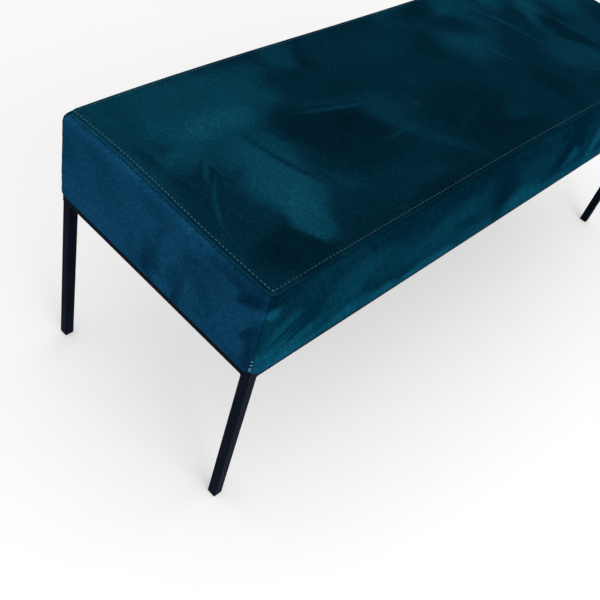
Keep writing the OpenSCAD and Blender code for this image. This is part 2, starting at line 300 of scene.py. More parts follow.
def calculate(tree, operation, first, second, clamp=False):
    # first (operation) second, where each is a socket or a number
    node = addNode(tree, "Math", operation=operation, use_clamp=clamp)
    for socket, value in zip(node.inputs, (first, second)):
        if isinstance(value, (int, float)):
            socket.default_value = value
        else:
            tree.links.new(value, socket)
    return node.outputs[0]


def centred(tree, pattern, share):
    # share (pattern - 0.5)
    return calculate(tree, "MULTIPLY", calculate(tree, "SUBTRACT", pattern, 0.5), share)


def weigh(tree, first, second, share):
    # share first + (1 - share) second
    rest = calculate(tree, "MULTIPLY", second, 1 - share)
    return calculate(tree, "ADD", calculate(tree, "MULTIPLY", first, share), rest)


def rampOf(tree, factor, stops):
    # Stops are places from 0 to 1 with their screen colours
    ramp = addNode(tree, "ValToRGB", links={"Fac": factor})
    elements = ramp.color_ramp.elements
    while len(elements) < len(stops):
        elements.new(0.5)
    for element, (place, colour) in zip(elements, stops):
        element.position = place
        element.color = tone(*colour)
    return ramp.outputs["Color"]


def finishShader(tree, shader, colour, *reliefs):
    # The base colour, and bumps laid one over another, each with its height, strength and distance
    tree.links.new(colour, shader.inputs["Base Color"])
    below = {}
    for height, strength, distance in reliefs:
        values = {"Strength": strength, "Distance": distance}
        below["Normal"] = addNode(tree, "Bump", values, {"Height": height, **below}).outputs["Normal"]
    tree.links.new(below["Normal"], shader.inputs["Normal"])


def velvetMaterial(name, settings):
    # The brushed nap is the attribute plus streaks, mottling, and grain that shows more where the nap is
    # light; the attribute also holds painted highlights and painted shade along seams and bands. A ramp
    # turns its share of the brightest level to colour.
    material, tree, shader = newMaterial(
        name, Roughness=0.9, Specular_IOR_Level=0.0,
        Sheen_Weight=0.03, Sheen_Roughness=0.45, Sheen_Tint=settings["sheenTint"],
    )
    brightest = settings["colours"][-1][0]
    streakCells, grainCells = [
        objectPattern(tree, settings[key], settings["turn"], "TEXTURE") for key in ("streaks", "grain")
    ]
    streaks = noiseOf(tree, streakCells, detail=3.0, roughness=0.6, distortion=0.4)
    mottling = noiseOf(tree, objectPattern(tree), settings["mottling"], detail=4.0, roughness=0.62)
    grain = noiseOf(tree, grainCells, detail=2.0, roughness=0.55)
    nap = attributeOf(tree, "nap")
    lighter = calculate(tree, "ADD", nap, settings["grainFloor"])
    visible = calculate(tree, "MULTIPLY", lighter, settings["grainShare"])
    level = calculate(tree, "ADD", nap, centred(tree, streaks, settings["streakShare"]))
    level = calculate(tree, "ADD", level, centred(tree, mottling, settings["mottleShare"]))
    level = calculate(tree, "ADD", level, centred(tree, grain, visible))
    level = calculate(tree, "DIVIDE", level, brightest, clamp=True)
    colour = rampOf(tree, level, [(place / brightest, shade) for place, shade in settings["colours"]])
    finishShader(tree, shader, colour, (grain, 0.30, 0.3 * mm), (mottling, 0.25, 0.6 * mm))
    return material


# The three velvets are one cloth. Their ramps differ by face, so each also holds painted sheen and shade:
# the tone that this light gives the pile on that face.
topVelvet = velvetMaterial("topVelvet", {
    "sheenTint": tone(0, 120, 150),
    "turn": (0, 0, 8),
    "streaks": (5 * mm, 34 * mm, 9 * mm),
    "grain": (0.9 * mm, 2.4 * mm, 2 * mm),
    "mottling": 180.0,
    "streakShare": 0.18, "mottleShare": 0.40, "grainFloor": 0.8, "grainShare": 0.90,
    "colours": [
        (0.0, (1, 22, 34)), (0.17, (2, 30, 42)), (0.40, (5, 41, 57)), (0.62, (7, 54, 71)),
        (0.85, (10, 64, 84)), (1.0, (15, 73, 94)), (1.5, (50, 122, 158)),
    ],
})
longVelvet = velvetMaterial("longSideVelvet", {
    "sheenTint": tone(0, 130, 165),
    "turn": (0, -30, 0),
    "streaks": (5 * mm, 9 * mm, 30 * mm),
    "grain": (1.2 * mm, 3 * mm, 5 * mm),
    "mottling": 130.0,
    "streakShare": 0.44, "mottleShare": 0.34, "grainFloor": 0.6, "grainShare": 0.55,
    "colours": [
        (0.0, (0, 23, 37)), (0.28, (1, 34, 50)), (0.5, (4, 46, 63)),
        (0.74, (6, 57, 76)), (1.0, (11, 72, 96)), (1.4, (30, 104, 136)),
    ],
})
shortVelvet = velvetMaterial("shortSideVelvet", {
    "sheenTint": tone(0, 110, 170),
    "turn": (37, 0, 0),
    "streaks": (9 * mm, 5 * mm, 16 * mm),
    "grain": (4 * mm, 1.6 * mm, 4 * mm),
    "mottling": 150.0,
    "streakShare": 0.30, "mottleShare": 0.60, "grainFloor": 0.5, "grainShare": 0.95,
    "colours": [
        (0.0, (3, 31, 51)), (0.28, (6, 45, 70)), (0.42, (9, 49, 76)), (0.69, (13, 61, 91)),
        (0.82, (16, 66, 98)), (1.0, (18, 71, 105)), (1.4, (34, 100, 140)),
    ],
})

finishes = {
    "black_steel": {
        "name": "blackPowderCoat", "shader": {"Roughness": 0.38, "Specular_IOR_Level": 0.005},
        "clouds": 14.0, "cloudDetail": 4.0, "grain": 620.0, "strength": 0.22, "depth": 0.25 * mm,
        "tones": ((0.3, (9, 15, 26)), (0.7, (14, 21, 35))),
    },
    "foot_plastic": {
        "name": "footPlastic", "shader": {"Roughness": 0.62, "Specular_IOR_Level": 0.25},
        "clouds": 90.0, "cloudDetail": 5.0, "grain": 1500.0, "strength": 0.3, "depth": 0.1 * mm,
        "tones": ((0.35, (17, 18, 20)), (0.7, (27, 28, 30))),
    },
    "zinc_steel": {
        "name": "zincPlate", "shader": {"Metallic": 1.0, "Roughness": 0.34},
        "clouds": 260.0, "cloudDetail": 4.0, "grain": 1800.0, "strength": 0.2, "depth": 0.05 * mm,
        "tones": ((0.3, (158, 162, 168)), (0.7, (196, 199, 203))),
    },
    "black_bolt": {
        "name": "blackOxide", "shader": {"Metallic": 0.8, "Roughness": 0.42},
        "clouds": 300.0, "cloudDetail": 4.0, "grain": 2000.0, "strength": 0.2, "depth": 0.05 * mm,
        "tones": ((0.3, (34, 35, 38)), (0.75, (58, 59, 62))),
    },
}


def cloudedMaterial(settings):
    # Cloudy noise between two tones, and a fine grain as relief
    material, tree, shader = newMaterial(settings["name"], **settings["shader"])
    place = objectPattern(tree)
    clouds = noiseOf(tree, place, settings["clouds"], settings["cloudDetail"], roughness=0.6)
    relief = (noiseOf(tree, place, settings["grain"]), settings["strength"], settings["depth"])
    finishShader(tree, shader, rampOf(tree, clouds, settings["tones"]), relief)
    return material


def plywood():
    # Plies are bands across the thickness, and the face veneer has long grain along the board
    material, tree, shader = newMaterial("birchPlywood", Roughness=0.6, Specular_IOR_Level=0.3)
    fibres = objectPattern(tree, scale=(2.2, 60, 60))
    grain = noiseOf(tree, fibres, detail=6.0, roughness=0.65, distortion=1.2)
    plies = addNode(
        tree, "TexWave", {"Scale": 105.0, "Distortion": 0.4, "Detail": 2.0},
        {"Vector": objectPattern(tree)}, wave_type="BANDS", bands_direction="Z",
    ).outputs["Fac"]
    veneer = rampOf(tree, grain, [
        (0.3, (176, 138, 92)), (0.55, (203, 168, 120)), (0.8, (220, 190, 146)),
    ])
    dark = rampOf(tree, plies, [(0.42, (255, 255, 255)), (0.6, (176, 158, 138))])
    mixed = addNode(
        tree, "MixRGB", {"Fac": 1.0}, {"Color1": veneer, "Color2": dark}, blend_type="MULTIPLY"
    ).outputs[0]
    finishShader(tree, shader, mixed, (grain, 0.25, 0.3 * mm))
    return material


def foamMaterial(name, low, high, cell):
    # Open cells are the small dents of a Voronoi pattern
    material, tree, shader = newMaterial(name, Roughness=0.95, Specular_IOR_Level=0.1)
    place = objectPattern(tree)
    cells = cellsOf(tree, place, cell)
    level = weigh(tree, cells, noiseOf(tree, place, 24.0, detail=4.0, roughness=0.6), 0.5)
    colour = rampOf(tree, level, [(0.25, low), (0.75, high)])
    finishShader(tree, shader, colour, (cells, 0.5, 0.8 * mm))
    return material


def fibreMaterial():
    # Loose polyester fibre: fine strands in two crossing directions
    material, tree, shader = newMaterial(
        "polyesterFibre", Roughness=0.9, Specular_IOR_Level=0.15, Sheen_Weight=0.2, Sheen_Roughness=0.5,
    )
    scales = ((900, 70, 300), (70, 900, 300))
    patterns = [objectPattern(tree, scale, (0, 0, angle)) for scale, angle in zip(scales, (25, -20))]
    strands = [noiseOf(tree, pattern, detail=4.0, roughness=0.7, distortion=1.5) for pattern in patterns]
    level = calculate(tree, "MULTIPLY", calculate(tree, "ADD", *strands), 0.5)
    colour = rampOf(tree, level, [(0.3, (205, 204, 198)), (0.6, (240, 239, 235))])
    finishShader(tree, shader, colour, (level, 0.6, 1.2 * mm))
    return material


def dustClothMaterial():
    # Spunbonded cloth: random fibres with a grid of pressed points
    material, tree, shader = newMaterial("dustCloth", Roughness=0.88, Specular_IOR_Level=0.15)
    spun = objectPattern(tree, scale=(500, 240, 500))
    fibres = noiseOf(tree, spun, detail=5.0, roughness=0.7, distortion=2.0)
    points = cellsOf(tree, objectPattern(tree), 420.0, randomness=0.15)
    colour = rampOf(tree, fibres, [(0.3, (20, 20, 22)), (0.7, (46, 46, 49))])
    finishShader(tree, shader, colour, (fibres, 0.4, 0.3 * mm), (points, 0.5, 0.25 * mm))
    return material


def threadMaterial(name, low, high):
    # Twisted thread: slanting light and dark bands of painted shade over its plies, dimmer on stitches
    # along the bench, set by how far each point is along its stitch
    material, tree, shader = newMaterial(
        name, Roughness=0.6, Specular_IOR_Level=0.2, Sheen_Weight=0.1, Sheen_Roughness=0.4,
    )
    fuzz = noiseOf(tree, objectPattern(tree), 1900.0, detail=3.0, roughness=0.6)
    level = weigh(tree, attributeOf(tree, "twistShade"), fuzz, 0.7)
    colour = rampOf(tree, level, [(0.1, low), (0.85, high)])
    finishShader(tree, shader, colour, (level, 0.5, 0.15 * mm))
    return material


materials = {slot: cloudedMaterial(settings) for slot, settings in finishes.items()}
materials.update({
    "velvet": longVelvet,
    "plywood": plywood(),
    "dust_cloth": dustClothMaterial(),
    "firm_foam": foamMaterial("firmFoam", (196, 160, 82), (226, 196, 122), 900.0),
    "soft_foam": foamMaterial("softFoam", (222, 212, 180), (244, 238, 214), 760.0),
    "fibre_wadding": fibreMaterial(),
})
seamThread = threadMaterial("seamThread", (44, 76, 94), (128, 164, 182))
cornerThread = threadMaterial("cornerThread", (120, 152, 166), (206, 226, 232))

for part in frame["record"]["subparts"]:
    dress(cadNodes[part["node"]], materials[part["material_slot"]])
print("materials made:", len(bpy.data.materials))


cushion = {
    "seamHeight": 135 * mm,     # top seam over the rails at the corners
    "crownLong": 7.5 * mm,      # rise towards the middle along the bench
    "crownShort": 3.5 * mm,     # rise towards the middle across it
    "seamOut": -3.15 * mm,      # how far the top seam stands out of the frame
    "sideExtra": 2.05 * mm,     # added to that along the bench, and taken from it at the ends
    "fullOut": 4.8 * mm,        # the sides just under their shoulder
    "footOut": 7.0 * mm,        # and at their foot
    "shoulder": 9.0 * mm,
    "lean": 3.5 * mm,           # how far the top stands towards the rear
    "waist": 3.0 * mm,          # how far the long top seams pull in at the middle
    "wander": 2.0 * mm,         # how far the short ones stray either way
    "bow": 1.0 * mm,            # how far a side swells between its corners
    "seamRadius": 14 * mm,
    "footRadius": 19 * mm,
    "leastRadius": 1 * mm,
    "stitchInset": 6.6 * mm,    # topstitching in from the seam
    "stitchRadius": 3 * mm,     # its sharp corner
    "velvet": 1.0 * mm,
    "columns": {"long": 300, "short": 100, "arc": 10},
}


def makeRows(out, radius, height, rise, seam):
    # The rows of a section: outset from the frame, corner radius, height over the rails, share of the
    # crown and lean, and how much of the top seam's own shape they follow
    parts = np.broadcast_arrays(*(np.asarray(part, float) for part in (out, radius, height, rise, seam)))
    return dict(zip(("out", "radius", "height", "rise", "seam"), parts))


def joinRows(*parts):
    return {key: np.concatenate([part[key] for part in parts]) for key in parts[0]}


def pickRows(rows, keep):
    return {key: values[keep] for key, values in rows.items()}


def insideRows(rows, thick):
    # The section moved square to itself towards the filling, with its corners as much tighter
    stepOut = np.gradient(rows["out"])
    stepUp = np.gradient(rows["height"])
    size = np.hypot(stepOut, stepUp)
    out = rows["out"] + thick * stepUp / size
    radius = np.maximum(rows["radius"] + out - rows["out"], cushion["leastRadius"])
    return {**rows, "out": out, "radius": radius, "height": rows["height"] - thick * stepOut / size}


def column(values):
    return np.asarray(values, float).reshape(-1, 1)


def crown(x, y):
    # A flat-topped arch along the bench, 1 - |x / half|^4, plus a round one across it, 1 - (y / half)^2
    alongShare = np.minimum(np.abs(x) / halfLong, 1)
    acrossShare = np.minimum(np.abs(y) / halfDeep, 1)
    return cushion["crownLong"] * (1 - alongShare ** 4) + cushion["crownShort"] * (1 - acrossShare ** 2)


def sidePlaces(side):
    # Each column's share of the straight stretch and share of the corner's turn, both from -1 to 1
    count = cushion["columns"]
    straight = count["long"] if side % 2 == 0 else count["short"]
    arc = np.arange(count["arc"], 0, -1) / count["arc"]
    share = np.linspace(-1, 1, straight + 1)
    return (
        np.concatenate([-np.ones_like(arc), share, np.ones_like(arc)]),
        np.concatenate([-arc, np.zeros_like(share), arc[::-1]]),
    )


def sideOutline(side, rows, turn=math.pi / 4):
    # One side of a rounded rectangle. Along it: share (half - r) + r sin(angle). Across it:
    # -reach + r - r cos(angle), where the long seams pull in by waist (1 - share^2)^4, the short ones
    # stray by wander sin(pi share), and the wall under them swells by bow (1 - share^2).
    # Side 0 is the front, and the others follow anticlockwise.
    share, corner = sidePlaces(side)
    seam = column(rows["seam"])
    radius = column(rows["radius"])
    longOut = halfDeep + column(rows["out"]) + cushion["sideExtra"] * seam
    endOut = halfLong + column(rows["out"]) - cushion["sideExtra"] * seam
    half, reach = (endOut, longOut) if side % 2 == 0 else (longOut, endOut)
    angle = corner * turn
    along = share * (half - radius) + radius * np.sin(angle)
    across = -reach + radius - radius * np.cos(angle)
    swell = cushion["bow"] * (1 - seam) * np.sin(math.pi * np.clip(column(rows["rise"]), 0, 1))
    across = across - swell * (1 - share ** 2)
    if side % 2 == 0:
        across = across + seam * cushion["waist"] * (1 - share ** 2) ** 4
    else:
        across = across - seam * cushion["wander"] * np.sin(math.pi * share) * (side - 2)
    quarter = side * math.pi / 2
    x = along * math.cos(quarter) - across * math.sin(quarter)
    y = along * math.sin(quarter) + across * math.cos(quarter)
    return x, y + cushion["lean"] * column(rows["rise"])


def wholeOutline(rows):
    # All four sides, started in the middle of the left end
    sides = [sideOutline(side, rows) for side in range(4)]
    x = np.concatenate([part[0][:, :-1] for part in sides], axis=1)
    y = np.concatenate([part[1][:, :-1] for part in sides], axis=1)
    middle = (sides[3][0].shape[1] - 1) // 2
    return np.roll(x, middle, axis=1), np.roll(y, middle, axis=1)


napNoise = {                    # height, cell in millimetres, layers
    "edges": (0.34, 42.0, 4),
    "combing": (0.10, 6.0, 2),
    "clouds": (0.09, 60.0, 4),
}
combLength = 4                  # how much longer the combed cells are than wide


def napNoiseOf(points, kind, seed):
    height, cell, layers = napNoise[kind]
    return height * layeredNoise(points, cell, seed, layers)


def turned(along, across, angle):
    # Distances ahead and beside for a heading at this angle in degrees: along cos + across sin, and
    # across cos - along sin
    cosine = math.cos(math.radians(angle))
    sine = math.sin(math.radians(angle))
    return along * cosine + across * sine, across * cosine - along * sine


def paintNap(along, across, base, slant, marks, seed):
    # Each mark is a bent ellipse laid over the ones before it: with a and b the distances ahead and
    # beside over its half sizes, and b less bend a^2, its weight falls from 1 to 0 where a^2 + b^2
    # passes 1. Slow noise pushes the edges about, and noise drawn out along the slant combs them.
    flat = np.zeros_like(along)
    place = np.stack([along, across, flat], -1) / mm
    ahead, beside = turned(place[..., 0], place[..., 1], slant)
    combed = np.stack([ahead / combLength, beside, flat], -1)
    ragged = napNoiseOf(place, "edges", seed) + napNoiseOf(combed, "combing", seed + 9)
    nap = np.full(along.shape, base)
    for centreAlong, centreAcross, length, width, angle, bend, shade, softness in marks:
        ahead, beside = turned(place[..., 0] - centreAlong, place[..., 1] - centreAcross, angle)
        ahead = ahead / length
        distance = np.hypot(ahead, beside / width - bend * ahead ** 2) + ragged
        nap = nap + (shade - nap) * (1 - smoothStep(1 - softness, 1 + softness, distance))
    return nap + napNoiseOf(place, "clouds", seed + 20)


def scatteredMarks(seed, count, alongRange, acrossRange, sizes, shades, angles=(-180, 180)):
    # Marks at seeded random places, for the stretches whose brushing is free
    dice = np.random.default_rng(seed)
    return [
        (
            dice.uniform(*alongRange), dice.uniform(*acrossRange),
            dice.uniform(*sizes[0]), dice.uniform(*sizes[1]), dice.uniform(*angles),
            dice.uniform(-0.4, 0.4), dice.uniform(*shades), dice.uniform(0.35, 0.7),
        )
        for _ in range(count)
    ]


# In millimetres and degrees: along, across, half length, half width, angle, bend, shade, softness
topMarks = [
    (-470, 134, 180, 84, -10, 0, 0.71, 0.5),
    (-588, 10, 190, 18, 90, 0, 0.48, 0.6),
    (-590, 100, 100, 15, 90, 0, 0.66, 0.6),
    (-448, 70, 68, 32, -4, 0, 0.9, 0.5),
    (-556, 84, 46, 9, 90, 0, 0.62, 0.7),
    (-514, 106, 30, 20, 0, 0, 0.74, 0.7),
    (-552, 150, 50, 24, 75, 0, 0.56, 0.7),
    (-520, 44, 40, 20, 4, 0, 0.84, 0.5),
    (-455, 20, 84, 38, 0, 0, 0.64, 0.55),
    (-538, 26, 20, 12, 20, 0, 0.84, 0.4),
    (-528, -14, 36, 22, 60, 0, 0.24, 0.35),
    (-540, -84, 104, 46, 92, 0, 0.34, 0.5),
    (-556, -52, 54, 3.5, 60, -2.6, 0.56, 0.6),
    (-519, 12, 28, 3.5, 48, -1.2, 0.66, 0.6),
    (-506, 12, 24, 3, 95, 0.3, 0.6, 0.6),
    (-512, -160, 56, 38, 175, 0, 0.1, 0.5),
    (-450, -62, 80, 51, 88, 0, 0.8, 0.34),
    (-463, -124, 50, 30, 80, 0, 0.84, 0.28),
    (-503, -174, 54, 25, 108, 0, 0.18, 0.26),
    (-408, -192, 90, 34, 42, 0, 0.24, 0.28),
    (-386, -36, 58, 25, 100, 0, 0.9, 0.5),
    (-412, -50, 92, 4.4, -72, 2.8, 0.38, 0.6),
    (-366, -96, 90, 28, 104, 0, 0.42, 0.6),
    (-374, -92, 70, 3.5, 112, 0.1, 0.56, 0.8),
    (-352, -140, 52, 4.5, 110, 0.12, 0.52, 0.8),
    (-338, -150, 34, 4, 96, 0, 0.5, 0.8),
    (-310, -152, 22, 3, 88, 0, 0.46, 0.8),
    (-296, 2, 94, 62, -14, 0, 0.16, 0.35),
    (-262, -24, 44, 34, -20, 0, 0.08, 0.5),
    (-286, -62, 80, 50, 0, 0, 0.15, 0.5),
    (-300, -148, 130, 34, 2, 0, 0.3, 0.6),
    (-180, -188, 180, 22, 1, 0, 0.15, 0.55),
    (-160, -152, 78, 18, -4, 0, 0.2, 0.8),
    (-243, -152, 50, 12, 4, 0, 0.36, 0.7),
    (-240, 34, 84, 12, -17, 0, 0.44, 0.7),
    (-250, 19, 62, 3.6, -15, 0.12, 0.66, 0.8),
    (-180, -26, 60, 36, 115, 0, 0.46, 0.55),
    (-200, -68, 44, 3.6, 4, 0.3, 0.5, 0.8),
    (-162, -104, 62, 13, 124, 0, 0.5, 0.7),
    (-136, -74, 36, 12, 104, 0, 0.46, 0.8),
    (-124, -66, 46, 9, 94, 0.1, 0.64, 0.8),
    (-50, -108, 108, 78, -28, 0, 0.15, 0.4),
    (-72, -98, 46, 4.5, 18, 0.1, 0.28, 0.8),
    (34, -126, 34, 22, -10, 0, 0.36, 0.5),
]
topMarks += scatteredMarks(11, 6, (-260, 60), (60, 190), ((50, 110), (24, 60)), (0.12, 0.60))
topMarks += scatteredMarks(12, 18, (100, 590), (-190, 190), ((50, 130), (24, 70)), (0.10, 0.85))
topMarks += scatteredMarks(13, 16, (60, 570), (-170, 170), ((30, 80), (3, 6)), (0.40, 0.62), (88, 136))

# Painted shade in a band under the top seam, and a painted highlight in a band along the foot, on both
# long sides
longShadeAndHighlightBands = [
    (0, 131, 700, 22, 0, 0, 0.32, 0.8),
    (0, 12, 700, 15, 0, 0, 0.82, 0.6),
]
frontMarks = longShadeAndHighlightBands + [
    (-250, 126, 190, 17, 1, 0, 0.17, 0.6),
    (-584, 104, 28, 24, 90, 0, 0.58, 0.7),
    (-580, 129, 50, 13, 0, 0, 0.24, 0.6),
    (-558, 116, 26, 9, 0, 0, 0.36, 0.6),
    (-590, 109, 11, 11, 90, 0, 1.18, 0.35),
    (-508, 108, 76, 34, 12, 0, 0.44, 0.7),
    (-594, 90, 18, 9, 10, 0, 0.56, 0.6),
    (-564, 70, 32, 14, 28, 0, 0.9, 0.6),
    (-480, 72, 60, 26, 10, 0, 0.38, 0.7),
    (-430, 84, 54, 30, 20, 0, 0.66, 0.7),
    (-520, 24, 130, 24, 0, 0, 0.92, 0.5),
    (-558, 9, 46, 7, 0, 0, 1.04, 0.6),
    (-560, 62, 30, 2.8, 29, 0.2, 0.28, 0.5),
    (-533, 46, 30, 2.6, 26, 0.2, 0.26, 0.5),
    (-466, 34, 44, 12, 10, 0, 0.6, 0.7),
    (-440, 20, 26, 10, 5, 0, 0.9, 0.5),
    (-364, 40, 46, 14, -20, 0, 0.4, 0.6),
    (-372, 62, 76, 14, -8, 0, 0.52, 0.6),
    (-426, 66, 24, 12, 10, 0, 0.68, 0.7),
    (-350, 15, 40, 10, 0, 0, 0.92, 0.6),
    (-306, 30, 28, 20, -40, 0, 0.38, 0.6),
    (-300, 53, 26, 10, 0, 0, 0.6, 0.7),
    (-290, 11, 24, 7, 0, 0, 1.0, 0.6),
    (-240, 78, 100, 38, -8, 0, 0.56, 0.7),
    (-160, 56, 40, 13, -25, 0, 0.4, 0.7),
    (-204, 80, 60, 14, -4, 0, 0.64, 0.7),
    (-286, 110, 42, 24, 0, 0, 0.28, 0.8),
    (-124, 22, 42, 12, -8, 0, 0.68, 0.6),
    (-168, 18, 16, 12, 0, 0, 0.56, 0.7),
    (-114, 114, 60, 15, -6, 0, 0.34, 0.8),
    (-206, 11, 30, 8, 0, 0, 0.98, 0.6),
    (-62, 70, 84, 28, -56, 0, 0.19, 0.6),
    (-54, 20, 20, 14, -40, 0, 0.42, 0.7),
    (18, 22, 62, 28, -8, 0, 0.86, 0.6),
]
frontMarks += scatteredMarks(23, 14, (110, 580), (10, 120), ((26, 80), (10, 34)), (0.15, 0.95))
rearMarks = longShadeAndHighlightBands + scatteredMarks(31, 26, (-580, 580), (10, 120), ((26, 80), (10, 34)), (0.15, 0.95))

# Along the left end, from the rear towards the front is from + to -
leftMarks = [
    (110, 20, 130, 18, 0, 0, 0.88, 0.7),
    (186, 88, 24, 16, 50, 0, 0.66, 0.7),
    (100, 96, 54, 26, 60, 0, 0.7, 0.8),
    (6, 128, 34, 14, 10, 0, 0.6, 0.8),
    (-16, 96, 66, 8, 102, 0, 0.62, 0.8),
    (-2, 32, 36, 17, 76, 0, 0.44, 0.6),
    (10, 24, 16, 8, 80, 0, 0.32, 0.7),
    (36, 30, 24, 15, 60, 0, 0.66, 0.7),
    (-57, 26, 46, 9, 91, 0, 0.4, 0.5),
    (-66, 86, 50, 10, 101, 0, 0.6, 0.7),
    (-42, 44, 18, 8, 90, 0, 0.6, 0.7),
    (-90, 80, 50, 16, 60, 0, 0.56, 0.8),
    (-112, 103, 26, 16, 20, 0, 0.62, 0.8),
    (-61, 122, 26, 12, 0, 0, 0.84, 0.8),
    (-24, 16, 16, 9, 0, 0, 0.92, 0.8),
    (14, 4, 24, 7, 0, 0, 0.74, 0.8),
    (-98, 28, 12, 6, 0, 0, 0.6, 0.7),
    (-170, 132, 60, 15, 0, 0, 0.34, 0.6),
    (-180, 123, 32, 9, -37, 0, 0.22, 0.3),
    (-203, 42, 54, 21, 90, 0, 0.32, 0.3),
    (-193, 77, 34, 8, -51, 0, 0.32, 0.18),
    (-168, 12, 18, 7, 0, 0, 0.6, 0.7),
]
rightMarks = scatteredMarks(37, 14, (-185, 185), (10, 125), ((18, 60), (8, 26)), (0.35, 0.95))

topSettings = {
    "edgeRadius": 1.5 * mm,     # the panel's rounded edge over the seam
    "edgeTurn": (-70, 80, 11),  # from and to, in degrees, and the number of rows
    "tuck": 4.5 * mm,           # how far its allowance reaches in
    "tuckDrop": 2.03,           # and how far down, as a multiple of the edge's radius
    "fineRows": (-6, 11),       # rows beside the stitching, counted from it
    "fineStep": 0.6,            # millimetres, like the wide rows' places, counted from the seam
    "wideRows": ((14, 26, 7), (29, 62, 12), (67, halfDeep / mm - 5, 25)),
    "innerStep": 6,             # the hidden inner face has every sixth row
    "lipRise": 2.6 * mm,
    "lipReach": 4.5 * mm,
    "grooveDepth": 0.8 * mm,
    "grooveWidth": 1.7 * mm,
    "weltRise": 0.3 * mm,
    "weltPlace": 0.5,           # as a share of the stitching's inset, like its width
    "weltWidth": 0.3,
    "waves": 0.7 * mm,
    "waveCell": 110 * mm,
    "waveFade": 30 * mm,
    "waveSeed": 5,
    "nap": (0.30, 20),          # base level, and slant in degrees
    "napSeed": 3,
    # Painted highlight on the top panel's rounded seam edge, and at the ends painted shade in a strip
    # inside it
    "endRimHighlight": 0.34,
    "longRimHighlight": 0.10,
    "rimHighlightWidth": 1.3 * mm,
    "strip": 0.12,
    "stripPlace": 0.6,          # as a share of the stitching's inset
    "stripWidth": 1.8 * mm,
}


def topSection(settings):
    # The tucked edge and its round, as an arc about its own centre, and then the top: a lip
    # 1 - exp(-d / reach), a welt and the stitched groove as bell curves
    radius = settings["edgeRadius"]
    stitch = cushion["stitchInset"]
    arc = np.radians(np.linspace(*settings["edgeTurn"]))
    fine = stitch + np.arange(*settings["fineRows"]) * settings["fineStep"] * mm
    flat = np.concatenate([fine, *(np.linspace(*rows) * mm for rows in settings["wideRows"])])
    rise = settings["lipRise"] * (1 - np.exp(-(flat - radius) / settings["lipReach"]))
    groove = bell(flat - stitch, settings["grooveWidth"])
    welt = bell(flat - settings["weltPlace"] * stitch, settings["weltWidth"] * stitch)
    lift = rise - settings["grooveDepth"] * groove + settings["weltRise"] * welt
    inset = np.concatenate([[settings["tuck"]], radius - radius * np.cos(arc), flat])[::-1]
    height = np.concatenate([[-settings["tuckDrop"] * radius], radius * np.sin(arc) - radius, lift])[::-1]
    # From the seam's round corner to the stitching's sharp one, and sharp from there on
    share = np.clip(inset / stitch, 0, 1)
    cornerRadius = cushion["seamRadius"] + (cushion["stitchRadius"] - cushion["seamRadius"]) * share
    return inset, makeRows(cushion["seamOut"] - inset, cornerRadius, cushion["seamHeight"] + height, 1, 1)


def topPoints(rows, settings):
    # The rings on the crown, with slow waves that fade towards the seam
    x, y = wholeOutline(rows)
    inset = np.maximum(cushion["seamOut"] - column(rows["out"]), 0)
    slow = layeredNoise(np.stack([x, y, 0 * x], -1), settings["waveCell"], settings["waveSeed"], 2)
    waves = settings["waves"] * (1 - np.exp(-inset / settings["waveFade"])) * slow
    return np.stack([x, y, railTop + column(rows["height"]) + crown(x, y) + waves], -1)


def topNap(points, inset, settings):
    # Painted marks, a painted highlight along the seam's rounded edge as a bell curve, brighter at the
    # ends, and there painted shade in a darker strip of the same form between it and the stitches
    along, across = points[..., 0], points[..., 1]
    atEnds = np.abs(along) - halfLong > np.abs(across) - halfDeep
    rimHighlight = np.where(atEnds, settings["endRimHighlight"], settings["longRimHighlight"])
    inset = column(inset)
    strip = bell(inset - settings["stripPlace"] * cushion["stitchInset"], settings["stripWidth"])
    nap = paintNap(along, across, *settings["nap"], topMarks, settings["napSeed"])
    return nap + rimHighlight * bell(inset, settings["rimHighlightWidth"]) - atEnds * settings["strip"] * strip


def makeTop(settings):
    # The outer face, and an inner one a thickness of velvet inside it with fewer rows
    inset, rows = topSection(settings)
    outer = topPoints(rows, settings)
    edgeStart = len(inset) - settings["edgeTurn"][2] - 1
    keep = np.union1d(np.arange(0, len(inset), settings["innerStep"]), np.arange(edgeStart, len(inset)))
    inner = topPoints(pickRows(insideRows(rows, cushion["velvet"]), keep), settings)
    points = np.concatenate([outer, inner[::-1]])
    piece = ringShell("topPanel", points)
    setAttribute(piece, "nap", topNap(points, np.concatenate([inset, inset[keep][::-1]]), settings))
    finishPiece(piece, topVelvet, "top_panel")
    return piece, outer[np.argmin(np.abs(inset - cushion["stitchInset"]))]


topPanel, stitchLine = makeTop(topSettings)
print("top panel made:", len(topPanel.data.polygons), "faces")


